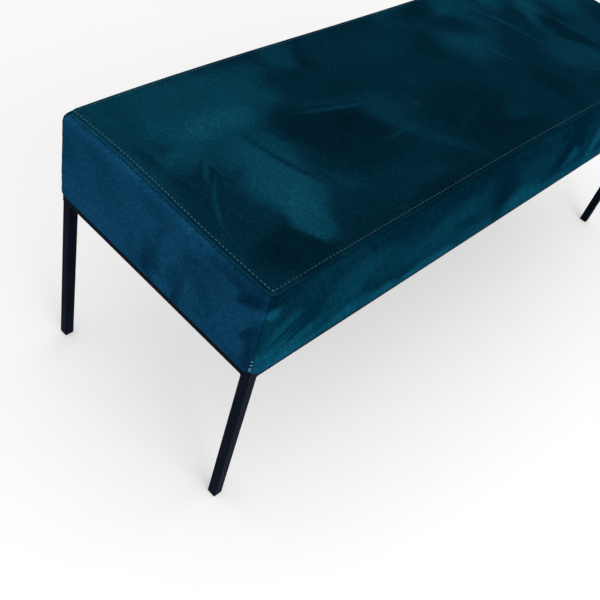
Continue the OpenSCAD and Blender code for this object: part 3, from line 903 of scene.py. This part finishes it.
sideSettings = {
    "seamDrop": 3.3 * mm,       # the crease under the top panel's edge
    "creaseIn": 1.0 * mm,       # and how far in from that edge it lies
    "allowance": (9, 5, 2),     # rows inside the seam, in millimetres from it
    "shoulderRows": 11,
    "wallRows": 34,
    "footTurn": (12, 90, 8),    # from and to, in degrees, and the number of rows
    "footRound": 5.9 * mm,
    "footLow": 0.4 * mm,
    "returnOut": (-2 * mm, -13 * mm, -24 * mm),
    "returnRadius": (10 * mm, 4 * mm, 2 * mm),
    "returnHeight": 0.6 * mm,
    "radiusRise": 0.4,          # share of the height over which the corner radius changes
    "cornerCrease": 1.2 * mm,
    "creaseWidth": 1.5 * mm,
    "seamShift": 0.2,           # how far the corner seams stand towards the short sides, in radians
    "footFade": 0.10,           # shares of the height over which all waves fade
    "topFade": 0.05,
    "waves": 0.5 * mm,
    "waveCell": 80 * mm,
    "pulls": 0.3 * mm,          # level ripples beside the corner seams
    "pullCell": 7 * mm,
    "pullStretch": 4,           # how much longer they are than high
    "pullReach": 18 * mm,
    "footWaves": 0.7 * mm,      # how far the foot strays outwards
    "footCell": 36 * mm,
    "footReach": 14 * mm,       # and how high that goes
    "seeds": {"waves": 40, "pulls": 60, "foot": 90, "nap": 70},
    # Painted highlight along the top rows of a side, lifting the crease's shade under the top panel
    "edgeStart": 0.965,         # share of the height where the panel starts to lighten
    "edgeGlow": (0.0, 0.12),    # on the long sides and on the short ones
}


def sideSection(settings):
    # The allowance under the top panel, the shoulder as a quarter of an ellipse, the wall, whose outset
    # runs with the square of its depth from the full one to the foot's, the foot as a quarter of a
    # circle, and the return under the board
    top = cushion["seamHeight"] - settings["seamDrop"]
    seamOut = cushion["seamOut"] - settings["creaseIn"]
    footRound = settings["footRound"]
    angle = np.radians(np.linspace(90, 0, settings["shoulderRows"]))
    shoulder = top - cushion["shoulder"] * (1 - np.sin(angle))
    wall = np.linspace(shoulder[-1], footRound + settings["footLow"], settings["wallRows"])[1:]
    footAngle = np.radians(np.linspace(*settings["footTurn"]))
    foot = settings["footLow"] + footRound * (1 - np.sin(footAngle))
    height = np.concatenate([shoulder, wall, foot])
    rise = height / top
    seam = np.concatenate([1 - np.cos(angle), np.zeros(len(wall) + len(foot))])
    out = cushion["fullOut"] + (cushion["footOut"] - cushion["fullOut"]) * (1 - rise) ** 2
    out = out + (seamOut - cushion["fullOut"]) * seam
    out[-len(foot):] -= footRound * (1 - np.cos(footAngle))
    tightening = cushion["seamRadius"] - cushion["footRadius"]
    radius = cushion["footRadius"] + tightening * smoothStep(0, settings["radiusRise"], rise)
    allowance = seamOut - np.array(settings["allowance"]) * mm
    return joinRows(
        makeRows(allowance, cushion["seamRadius"] + allowance - seamOut, top, 1, 1),
        makeRows(out, radius, height, rise, seam),
        makeRows(settings["returnOut"], settings["returnRadius"], settings["returnHeight"], 0, 0),
    )


def sidePoints(side, rows, settings):
    # Waves and the crease at each end move the wall square to itself. The corner seam stands a little
    # off the diagonal at the foot, and on it at the top.
    straight, corner = sidePlaces(side)
    rise = column(rows["rise"])
    height = column(rows["height"])
    seeds = settings["seeds"]
    toEnd = (1 - np.abs(corner)) * math.pi / 4 * column(rows["radius"])
    toEnd = toEnd + (1 - np.abs(straight)) * (halfLong if side % 2 == 0 else halfDeep)
    crease = settings["cornerCrease"] * bell(toEnd, settings["creaseWidth"])
    turn = math.pi / 4 + settings["seamShift"] * (1 - rise) * (1 if side % 2 == 0 else -1)
    x, y = sideOutline(side, rows, turn)
    place = np.stack([x, y, height + 0 * x], -1)
    visible = smoothStep(0.0, settings["footFade"], rise) * smoothStep(0.0, settings["topFade"], 1 - rise)
    waves = settings["waves"] * layeredNoise(place, settings["waveCell"], seeds["waves"] + side, 3)
    stretched = place / np.array([settings["pullStretch"], settings["pullStretch"], 1])
    ripples = latticeNoise(stretched, settings["pullCell"], seeds["pulls"] + side)
    pulls = settings["pulls"] * np.exp(-toEnd / settings["pullReach"]) * ripples
    stray = layeredNoise(place * np.array([1, 1, 0]), settings["footCell"], seeds["foot"] + side, 2)
    foot = settings["footWaves"] * (0.5 + 0.5 * stray) * bell(height, settings["footReach"])
    push = visible * (waves + pulls + foot) - crease
    angle = side * math.pi / 2 + corner * turn
    x = x + push * np.sin(angle)
    y = y - push * np.cos(angle)
    return np.stack([x, y, railTop + height + rise * crown(x, y)], -1)


def makeSide(side, name, node, nap, material, settings):
    # The outer face, and an inner one a thickness of velvet inside it
    rows = sideSection(settings)
    outer = sidePoints(side, rows, settings)
    inner = sidePoints(side, insideRows(rows, cushion["velvet"]), settings)
    piece = stripShell(name, outer, inner)
    points = np.concatenate([outer, inner[::-1]])
    rise = column(np.concatenate([rows["rise"], rows["rise"][::-1]]))
    # Painted highlight on the short sides' top rows, against the crease's shade under the top panel
    edge = settings["edgeGlow"][side % 2] * smoothStep(settings["edgeStart"], 1, rise)
    painted = paintNap(
        points[..., side % 2], points[..., 2] - railTop, *nap, settings["seeds"]["nap"] + side)
    setAttribute(piece, "nap", painted + edge)
    finishPiece(piece, material, node)
    return outer


# With the ramps, these base levels set each face's tone, painted sheen and shade included
longNap = (0.46, -30)           # base level, and slant in degrees
shortNap = (0.81, 40)
sidePanels = [
    ("frontSide", "front_boxing", (*longNap, frontMarks), longVelvet),
    ("rightSide", "right_boxing", (*shortNap, rightMarks), shortVelvet),
    ("rearSide", "rear_boxing", (*longNap, rearMarks), longVelvet),
    ("leftSide", "left_boxing", (*shortNap, leftMarks), shortVelvet),
]
sideShapes = [makeSide(side, *panel, sideSettings) for side, panel in enumerate(sidePanels)]
print("side panels made:", len(sideShapes))


threadSettings = {
    "rings": 7,
    "sides": 6,
    "endPlace": 0.995,          # share of the half length at which the end rings stand
    "twistShade": 9,                 # how far the shading turns over the half length, in radians
}
stitchSettings = {
    "pitch": 6.5 * mm,
    "length": 4.5 * mm,
    "width": 0.31 * mm,         # half the thread's width
    "height": 0.29 * mm,        # and half its height
    "alongShade": 0.36,
    "lift": 0.26 * mm,
    "headingReach": 1.5 * mm,   # how far either way the heading is measured
}


def stitchMeshes(name, thread, centres, headings, normals, settings):
    # Each stitch is a tube along u from -1 to 1 whose radius is (1 - u^6)^(1/2) of full, arched
    # by lift (1 - 2 u^2), so that its ends dive into the cloth. All of them are one array. Its level
    # is painted shade: a stitch is as bright as its heading's share across the bench, and alongShade
    # as bright along it, times light and dark bands that turn round the thread.
    rings = threadSettings["rings"]
    sides = threadSettings["sides"]
    u = column(np.linspace(-1, 1, rings)) * threadSettings["endPlace"]
    angle = np.arange(sides) * 2 * math.pi / sides
    radius = np.sqrt(1 - u ** 6)
    ahead = u * settings["length"] / 2 * np.ones(sides)
    across = radius * np.cos(angle) * settings["width"]
    up = radius * np.sin(angle) * settings["height"] + settings["lift"] * (1 - 2 * u ** 2)
    axes = (headings, np.cross(normals, headings), normals)
    points = placeCopies(centres, axes, (ahead, across, up))
    piece = addMesh(name, points, tubeFaces(rings, sides, len(centres)), outwards=True)
    headingShade = np.abs(headings[:, 1]) + settings["alongShade"] * np.abs(headings[:, 0])
    twistShade = 0.5 + 0.5 * np.sin(threadSettings["twistShade"] * u + angle)
    setAttribute(piece, "twistShade", headingShade[:, None, None] * twistShade)
    finishPiece(piece, thread)


def evenlyAlong(line, pitch, near):
    # Points at equal arc lengths along a closed line, with the heading there
    closed = np.vstack([line, line[:1]])
    reach = np.concatenate([[0], np.cumsum(np.linalg.norm(np.diff(closed, axis=0), axis=1))])
    count = int(round(reach[-1] / pitch))
    wanted = (np.arange(count) + 0.5) * reach[-1] / count

    def at(distance):
        distance = distance % reach[-1]
        return np.stack([np.interp(distance, reach, closed[:, axis]) for axis in range(3)], -1)

    return at(wanted), unit(at(wanted + near) - at(wanted - near))


def makeTopstitching(line, settings):
    # Stitches all along the groove, each as upright as it can stand on the line
    centres, headings = evenlyAlong(line, settings["pitch"], settings["headingReach"])
    normals = squareTo(headings, np.array([0.0, 0.0, 1.0]))
    stitchMeshes("topstitching", seamThread, centres, headings, normals, settings)


makeTopstitching(stitchLine, stitchSettings)

cornerStitchSettings = {
    "heights": (8.2, 14.8, 21.4, 28.0),     # over the rails, in millimetres
    "alongShade": 1.0,
    "length": 2.8 * mm,
    "width": 0.42 * mm,
    "height": 0.38 * mm,
    "lift": 0.40 * mm,
    "proud": 1.0 * mm,          # how far they stand out of the crease
    "slant": 0.30,              # how far each one leans out of level, in radians
}


def makeCornerStitches(sides, settings):
    # Four hand stitches over the foot of each corner seam, square to it and slanted a little
    centres, headings, normals = [], [], []
    for side, points in enumerate(sides):
        height = points[:, 0, 2:3] - railTop
        rows = np.argmin(np.abs(height - np.array(settings["heights"]) * mm), axis=0)
        centre = points[rows, 0]
        down = unit(points[rows + 1, 0] - points[rows - 1, 0])
        angle = math.radians(side * 90 - 45)
        outward = squareTo(down, np.array([math.sin(angle), -math.cos(angle), 0]))
        level = np.cross(down, outward)
        centres.append(centre + settings["proud"] * outward)
        headings.append(level * math.cos(settings["slant"]) + down * math.sin(settings["slant"]))
        normals.append(outward)
    parts = [np.concatenate(part) for part in (centres, headings, normals)]
    stitchMeshes("cornerStitches", cornerThread, *parts, settings)


makeCornerStitches(sideShapes, cornerStitchSettings)
print("stitches made")


fillingSettings = {
    "gap": 1.0 * mm,            # between one layer and the next
    "drop": 7.0 * mm,           # from the cover's seams down to the fibre's top
    "fibre": 7.5 * mm,
    "foot": 6.0 * mm,           # where the fibre ends over the rails
    "boardGap": 0.1 * mm,       # under the firm foam
    "bends": {"fibre": 12 * mm, "fibreInside": 8 * mm, "soft": 7 * mm, "firm": 2 * mm},
    "foamRadius": 8 * mm,
    "leastRadius": 2 * mm,
    "topRows": ((halfDeep / mm - 12, 40, 16), (34, 0, 8)),      # millimetres in from the shoulder
    "shoulderRows": 9,
    "wallRows": 14,
    "columnStep": 4,            # every fourth column of the outline
    "waves": 0.6 * mm,
    "waveCell": 28 * mm,
}


def fillingRows(out, top, foot, bend, radius, settings=fillingSettings):
    # A pad's section from the middle of its top outwards and down: level rows, a quarter of a circle
    # for the shoulder, and a wall
    inset = np.concatenate([np.linspace(*rows) for rows in settings["topRows"]]) * mm + bend
    angle = np.radians(np.linspace(0, 90, settings["shoulderRows"]))[1:]
    wall = np.linspace(top - bend, foot, settings["wallRows"])[1:]
    height = np.concatenate([np.full(len(inset), top), top - bend * (1 - np.cos(angle)), wall])
    outset = np.concatenate([out - inset, out - bend * (1 - np.sin(angle)), np.full(len(wall), out)])
    radius = np.maximum(radius - np.maximum(out - bend - outset, 0), settings["leastRadius"])
    return makeRows(outset, radius, height, np.clip(height / top, 0, 1), 0)


def fillingPoints(rows, waves, seed, settings=fillingSettings):
    # The rings on the crown, pressed in by noise
    x, y = wholeOutline(rows)
    z = railTop + column(rows["height"]) + column(rows["rise"]) * crown(x, y)
    rough = waves * layeredNoise(np.stack([x, y, z], -1), settings["waveCell"], seed, 3)
    return np.stack([x, y, z - np.abs(rough)], -1)[:, ::settings["columnStep"]]


def makePad(name, node, slot, rows, inner, seed):
    # A closed pad through its rows, hollow underneath where inner rows are given
    loops = fillingPoints(rows, fillingSettings["waves"], seed)
    if inner is not None:
        loops = np.concatenate([loops, fillingPoints(inner, 0, seed)[::-1]])
    piece = ringShell(name, loops)
    finishPiece(piece, materials[slot], node)


def makeFilling(settings):
    # Fibre over soft foam over firm foam, each one a gap inside the last, under the cover's seams
    gap = settings["gap"]
    fibre = settings["fibre"]
    foot = settings["foot"]
    bends = settings["bends"]
    corner = cushion["seamRadius"]
    foamCorner = settings["foamRadius"]
    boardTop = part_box("seat_board")[1].z - railTop + settings["boardGap"]
    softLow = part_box("top_foam")[0].z - railTop
    out = cushion["fullOut"] - cushion["velvet"] - gap
    top = cushion["seamHeight"] - settings["drop"]
    foamOut = out - fibre - gap
    outside = fillingRows(out, top, foot, bends["fibre"], corner)
    inside = fillingRows(out - fibre, top - fibre, foot, bends["fibreInside"], corner - fibre)
    soft = fillingRows(foamOut, top - fibre - gap, softLow, bends["soft"], foamCorner)
    firm = fillingRows(foamOut, softLow - gap, boardTop, bends["firm"], foamCorner)
    makePad("fibreWrap", "wadding", "fibre_wadding", outside, inside, 81)
    makePad("upperFoam", "top_foam", "soft_foam", soft, None, 83)
    makePad("lowerFoam", "base_foam", "firm_foam", firm, None, 85)


makeFilling(fillingSettings)
print("filling made")


dustClothSettings = {
    "sag": 3.5 * mm,
    "free": 150 * mm,           # half the width that hangs free of the fixing tabs
    "hole": 5.0 * mm,           # radius left open round each bolt
    "boltX": (-480 * mm, 0.0, 480 * mm),
    "boltY": (-171 * mm, 171 * mm),
    "thick": 0.4 * mm,
    "step": 9 * mm,
    "fineStep": 1 * mm,
    "fineReach": 8 * mm,        # how far from each bolt the lines stand at the fine step
    "snap": 0.75 * mm,          # points this near to a hole's edge are moved onto it
}


def linesAround(low, high, centres, settings):
    # Grid lines a step apart, with a finer step within reach of each centre
    step = settings["step"]
    fineStep = settings["fineStep"]
    reach = settings["fineReach"]
    lines = list(np.arange(low, high, step)) + [high]
    lines = [line for line in lines if all(abs(line - centre) > reach + step / 2 for centre in centres)]
    for centre in centres:
        lines += list(centre + np.arange(-reach, reach + fineStep / 2, fineStep))
    return np.array(sorted(line for line in lines if low <= line <= high))


def makeDustCloth(settings):
    # Flat on the rails, bearers and tabs, and between them it sags by (1 - s^2)(1 - t^2), where s and t
    # run from -1 to 1 across each free field. Round each bolt the grid is moved out to a hole's edge.
    low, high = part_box("dust_cover")
    bearers = [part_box(name) for name in ("left_bearer", "right_bearer")]
    boltX = settings["boltX"]
    boltY = settings["boltY"]
    hole = settings["hole"]
    x = linesAround(low.x, high.x, boltX, settings)
    y = linesAround(low.y, high.y, boltY, settings)
    gridX, gridY = np.meshgrid(x, y, indexing="ij")
    between = [edge for box in bearers for edge in (box[0].x, box[1].x)]
    edges = [-halfLong + railSide, *between, halfLong - railSide]
    sag = np.zeros_like(gridX)
    for start, end in zip(edges[0::2], edges[1::2]):
        along = np.clip((2 * gridX - start - end) / (end - start), -1, 1)
        across = np.clip(gridY / settings["free"], -1, 1)
        sag = sag + settings["sag"] * (1 - along ** 2) * (1 - across ** 2)
    faces = gridFaces(len(x), len(y))
    flat = np.stack([gridX, gridY], -1).reshape(-1, 2)
    keep = np.ones(len(faces), bool)
    for centreX in boltX:
        for centreY in boltY:
            offset = flat - np.array([centreX, centreY])
            distance = np.linalg.norm(offset, axis=1)
            keep &= np.linalg.norm(offset[faces].mean(1), axis=1) > hole
            near = np.abs(distance - hole) < settings["snap"]
            flat[near] = np.array([centreX, centreY]) + offset[near] / distance[near, None] * hole
    faces = faces[keep]
    used, renumbered = np.unique(faces, return_inverse=True)
    points = np.column_stack([flat, high.z - sag.ravel()])[used]
    piece = addMesh("dustCloth", points, renumbered.reshape(-1, 4))
    solid = piece.modifiers.new("thickness", "SOLIDIFY")
    solid.thickness = settings["thick"]
    solid.offset = -1
    finishPiece(piece, materials["dust_cloth"], "dust_cover")


makeDustCloth(dustClothSettings)


stapleSettings = {
    "inset": 20 * mm,           # from the frame's outer edge, just inside the rails
    "pitch": 46 * mm,
    "crown": 10 * mm,
    "wireWide": 1.2 * mm,
    "wireHigh": 0.6 * mm,
    "leg": 1.2 * mm,            # how far the bent legs show before they enter the board
    "bend": 0.7 * mm,
    "bendMiddle": 0.3,          # how far a bend's middle stands off both wires, as a share of it
    "sunk": 0.2,                # share of the wire's height that is pressed into the cloth
}


def spread(half, pitch):
    # Places at about this pitch from -half to half, in the middle of equal shares
    count = int(2 * half / pitch)
    return (np.arange(count) + 0.5) / count * 2 * half - half


def makeStaples(settings):
    # A flat wire along a path down, across and up again, at each place along the dust cloth's edge
    high = settings["wireHigh"]
    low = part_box("dust_cover")[0].z - high * settings["sunk"]
    halfX = halfLong - settings["inset"]
    halfY = halfDeep - settings["inset"]
    along = [(place, side * halfY, low) for side in (-1, 1) for place in spread(halfX, settings["pitch"])]
    beside = [(side * halfX, place, low) for side in (-1, 1) for place in spread(halfY, settings["pitch"])]
    centres = np.array(along + beside)
    turn = np.repeat([0.0, math.pi / 2], [len(along), len(beside)])
    headings = np.stack([np.cos(turn), np.sin(turn), 0 * turn], -1)
    sideways = np.stack([-np.sin(turn), np.cos(turn), 0 * turn], -1)
    upwards = np.broadcast_to([0.0, 0.0, 1.0], centres.shape)
    half = settings["crown"] / 2
    bend = settings["bend"]
    middle = settings["bendMiddle"] * bend
    path = np.array([
        (-half, settings["leg"]), (-half, bend), (-half + middle, middle), (-half + bend, 0),
        (half - bend, 0), (half - middle, middle), (half, bend), (half, settings["leg"]),
    ])
    step = np.gradient(path, axis=0)
    normal = unit(np.stack([-step[:, 1], step[:, 0]], -1))
    across = np.array([-1, 1, 1, -1]) * settings["wireWide"] / 2 * np.ones((len(path), 1))
    inward = np.array([0, 0, high, high])
    ahead = path[:, :1] - inward * normal[:, :1]
    up = path[:, 1:] - inward * normal[:, 1:]
    points = placeCopies(centres, (headings, sideways, upwards), (ahead, across, up))
    faces = tubeFaces(len(path), len(inward), len(centres))
    piece = addMesh("dustStaples", points, faces, outwards=True)
    piece.data.polygons.foreach_set("use_smooth", np.zeros(len(piece.data.polygons), bool))
    finishPiece(piece, materials["zinc_steel"])


makeStaples(stapleSettings)
print("dust cloth and staples made")


stageSettings = {
    "floorHalf": 9,
    "floorTone": 0.80,
    "floorGlow": 0.30,
    "fadeFrom": 1.8,            # distances between which the floor passes into the background
    "fadeTo": 6.0,
    "light": 0.70,
    "lamps": {                  # place, target, side of the square, watts
        "keyLamp": ((-0.9, -3.0, 1.7), (0, 0, 0.3), 2.4, 44),
        "topLamp": ((-0.2, 0.4, 3.2), (0, 0, 0.3), 2.6, 11),
    },
}


def seenDirectly(tree):
    # 1 for the camera's own rays and those of gloss and glass, and 0 for the others
    path = addNode(tree, "LightPath")
    direct = calculate(tree, "MAXIMUM", path.outputs["Is Camera Ray"], path.outputs["Is Glossy Ray"])
    return calculate(tree, "MAXIMUM", direct, path.outputs["Is Transmission Ray"])


def mixShaders(tree, factor, first, second):
    return addNode(tree, "MixShader", links={0: factor, 1: first.outputs[0], 2: second.outputs[0]})


def makeFloor(settings):
    # White for the rays that see it directly, with the shadow kept, and clear from underneath. Far out
    # it passes into the white background, so that no horizon shows.
    half = settings["floorHalf"]
    points = np.array([[-half, -half, 0], [half, -half, 0], [half, half, 0], [-half, half, 0]], float)
    floor = addMesh("floor", points, np.array([[0, 1, 2, 3]]))
    material = bpy.data.materials.new("paleFloor")
    tree = emptyTree(material)
    direct = seenDirectly(tree)
    diffuse = addNode(tree, "BsdfDiffuse", {"Color": (*[settings["floorTone"]] * 3, 1)})
    strength = calculate(tree, "MULTIPLY", direct, settings["floorGlow"])
    glow = addNode(tree, "Emission", links={"Strength": strength})
    lit = addNode(tree, "AddShader", links={0: diffuse.outputs[0], 1: glow.outputs[0]})
    place = addNode(tree, "TexCoord").outputs["Object"]
    reach = addNode(tree, "VectorMath", links={0: place}, operation="LENGTH").outputs["Value"]
    far = addNode(
        tree, "MapRange", {"From Min": settings["fadeFrom"], "From Max": settings["fadeTo"]},
        {"Value": reach}, interpolation_type="SMOOTHSTEP",
    ).outputs[0]
    white = addNode(tree, "Emission", {"Strength": 1.0})
    fading = mixShaders(tree, calculate(tree, "MULTIPLY", far, direct), lit, white)
    behind = addNode(tree, "NewGeometry").outputs["Backfacing"]
    seen = mixShaders(tree, behind, fading, addNode(tree, "BsdfTransparent"))
    addNode(tree, "OutputMaterial", links={"Surface": seen.outputs[0]})
    dress(floor, material)


def makeWorld(settings):
    # White at strength 1 for the rays that see it directly, and plain light for the others
    world = bpy.data.worlds.new("studio")
    tree = emptyTree(world)
    light, backdrop = [
        addNode(tree, "Background", {"Color": (1, 1, 1, 1), "Strength": strength})
        for strength in (settings["light"], 1.0)
    ]
    mixed = mixShaders(tree, seenDirectly(tree), light, backdrop)
    addNode(tree, "OutputWorld", links={"Surface": mixed.outputs[0]})
    bpy.context.scene.world = world


def addLamp(name, place, target, size, power):
    data = bpy.data.lights.new(name, "AREA")
    data.shape = "SQUARE"
    data.size = size
    data.energy = power
    lamp = bpy.data.objects.new(name, data)
    lamp.location = place
    lamp.rotation_euler = (Vector(target) - Vector(place)).to_track_quat("-Z", "Y").to_euler()
    bpy.context.scene.collection.objects.link(lamp)


makeFloor(stageSettings)
makeWorld(stageSettings)
for name, values in stageSettings["lamps"].items():
    addLamp(name, *values)
print("floor, world and lamps made")

bpy.context.scene.view_settings.view_transform = "Standard"
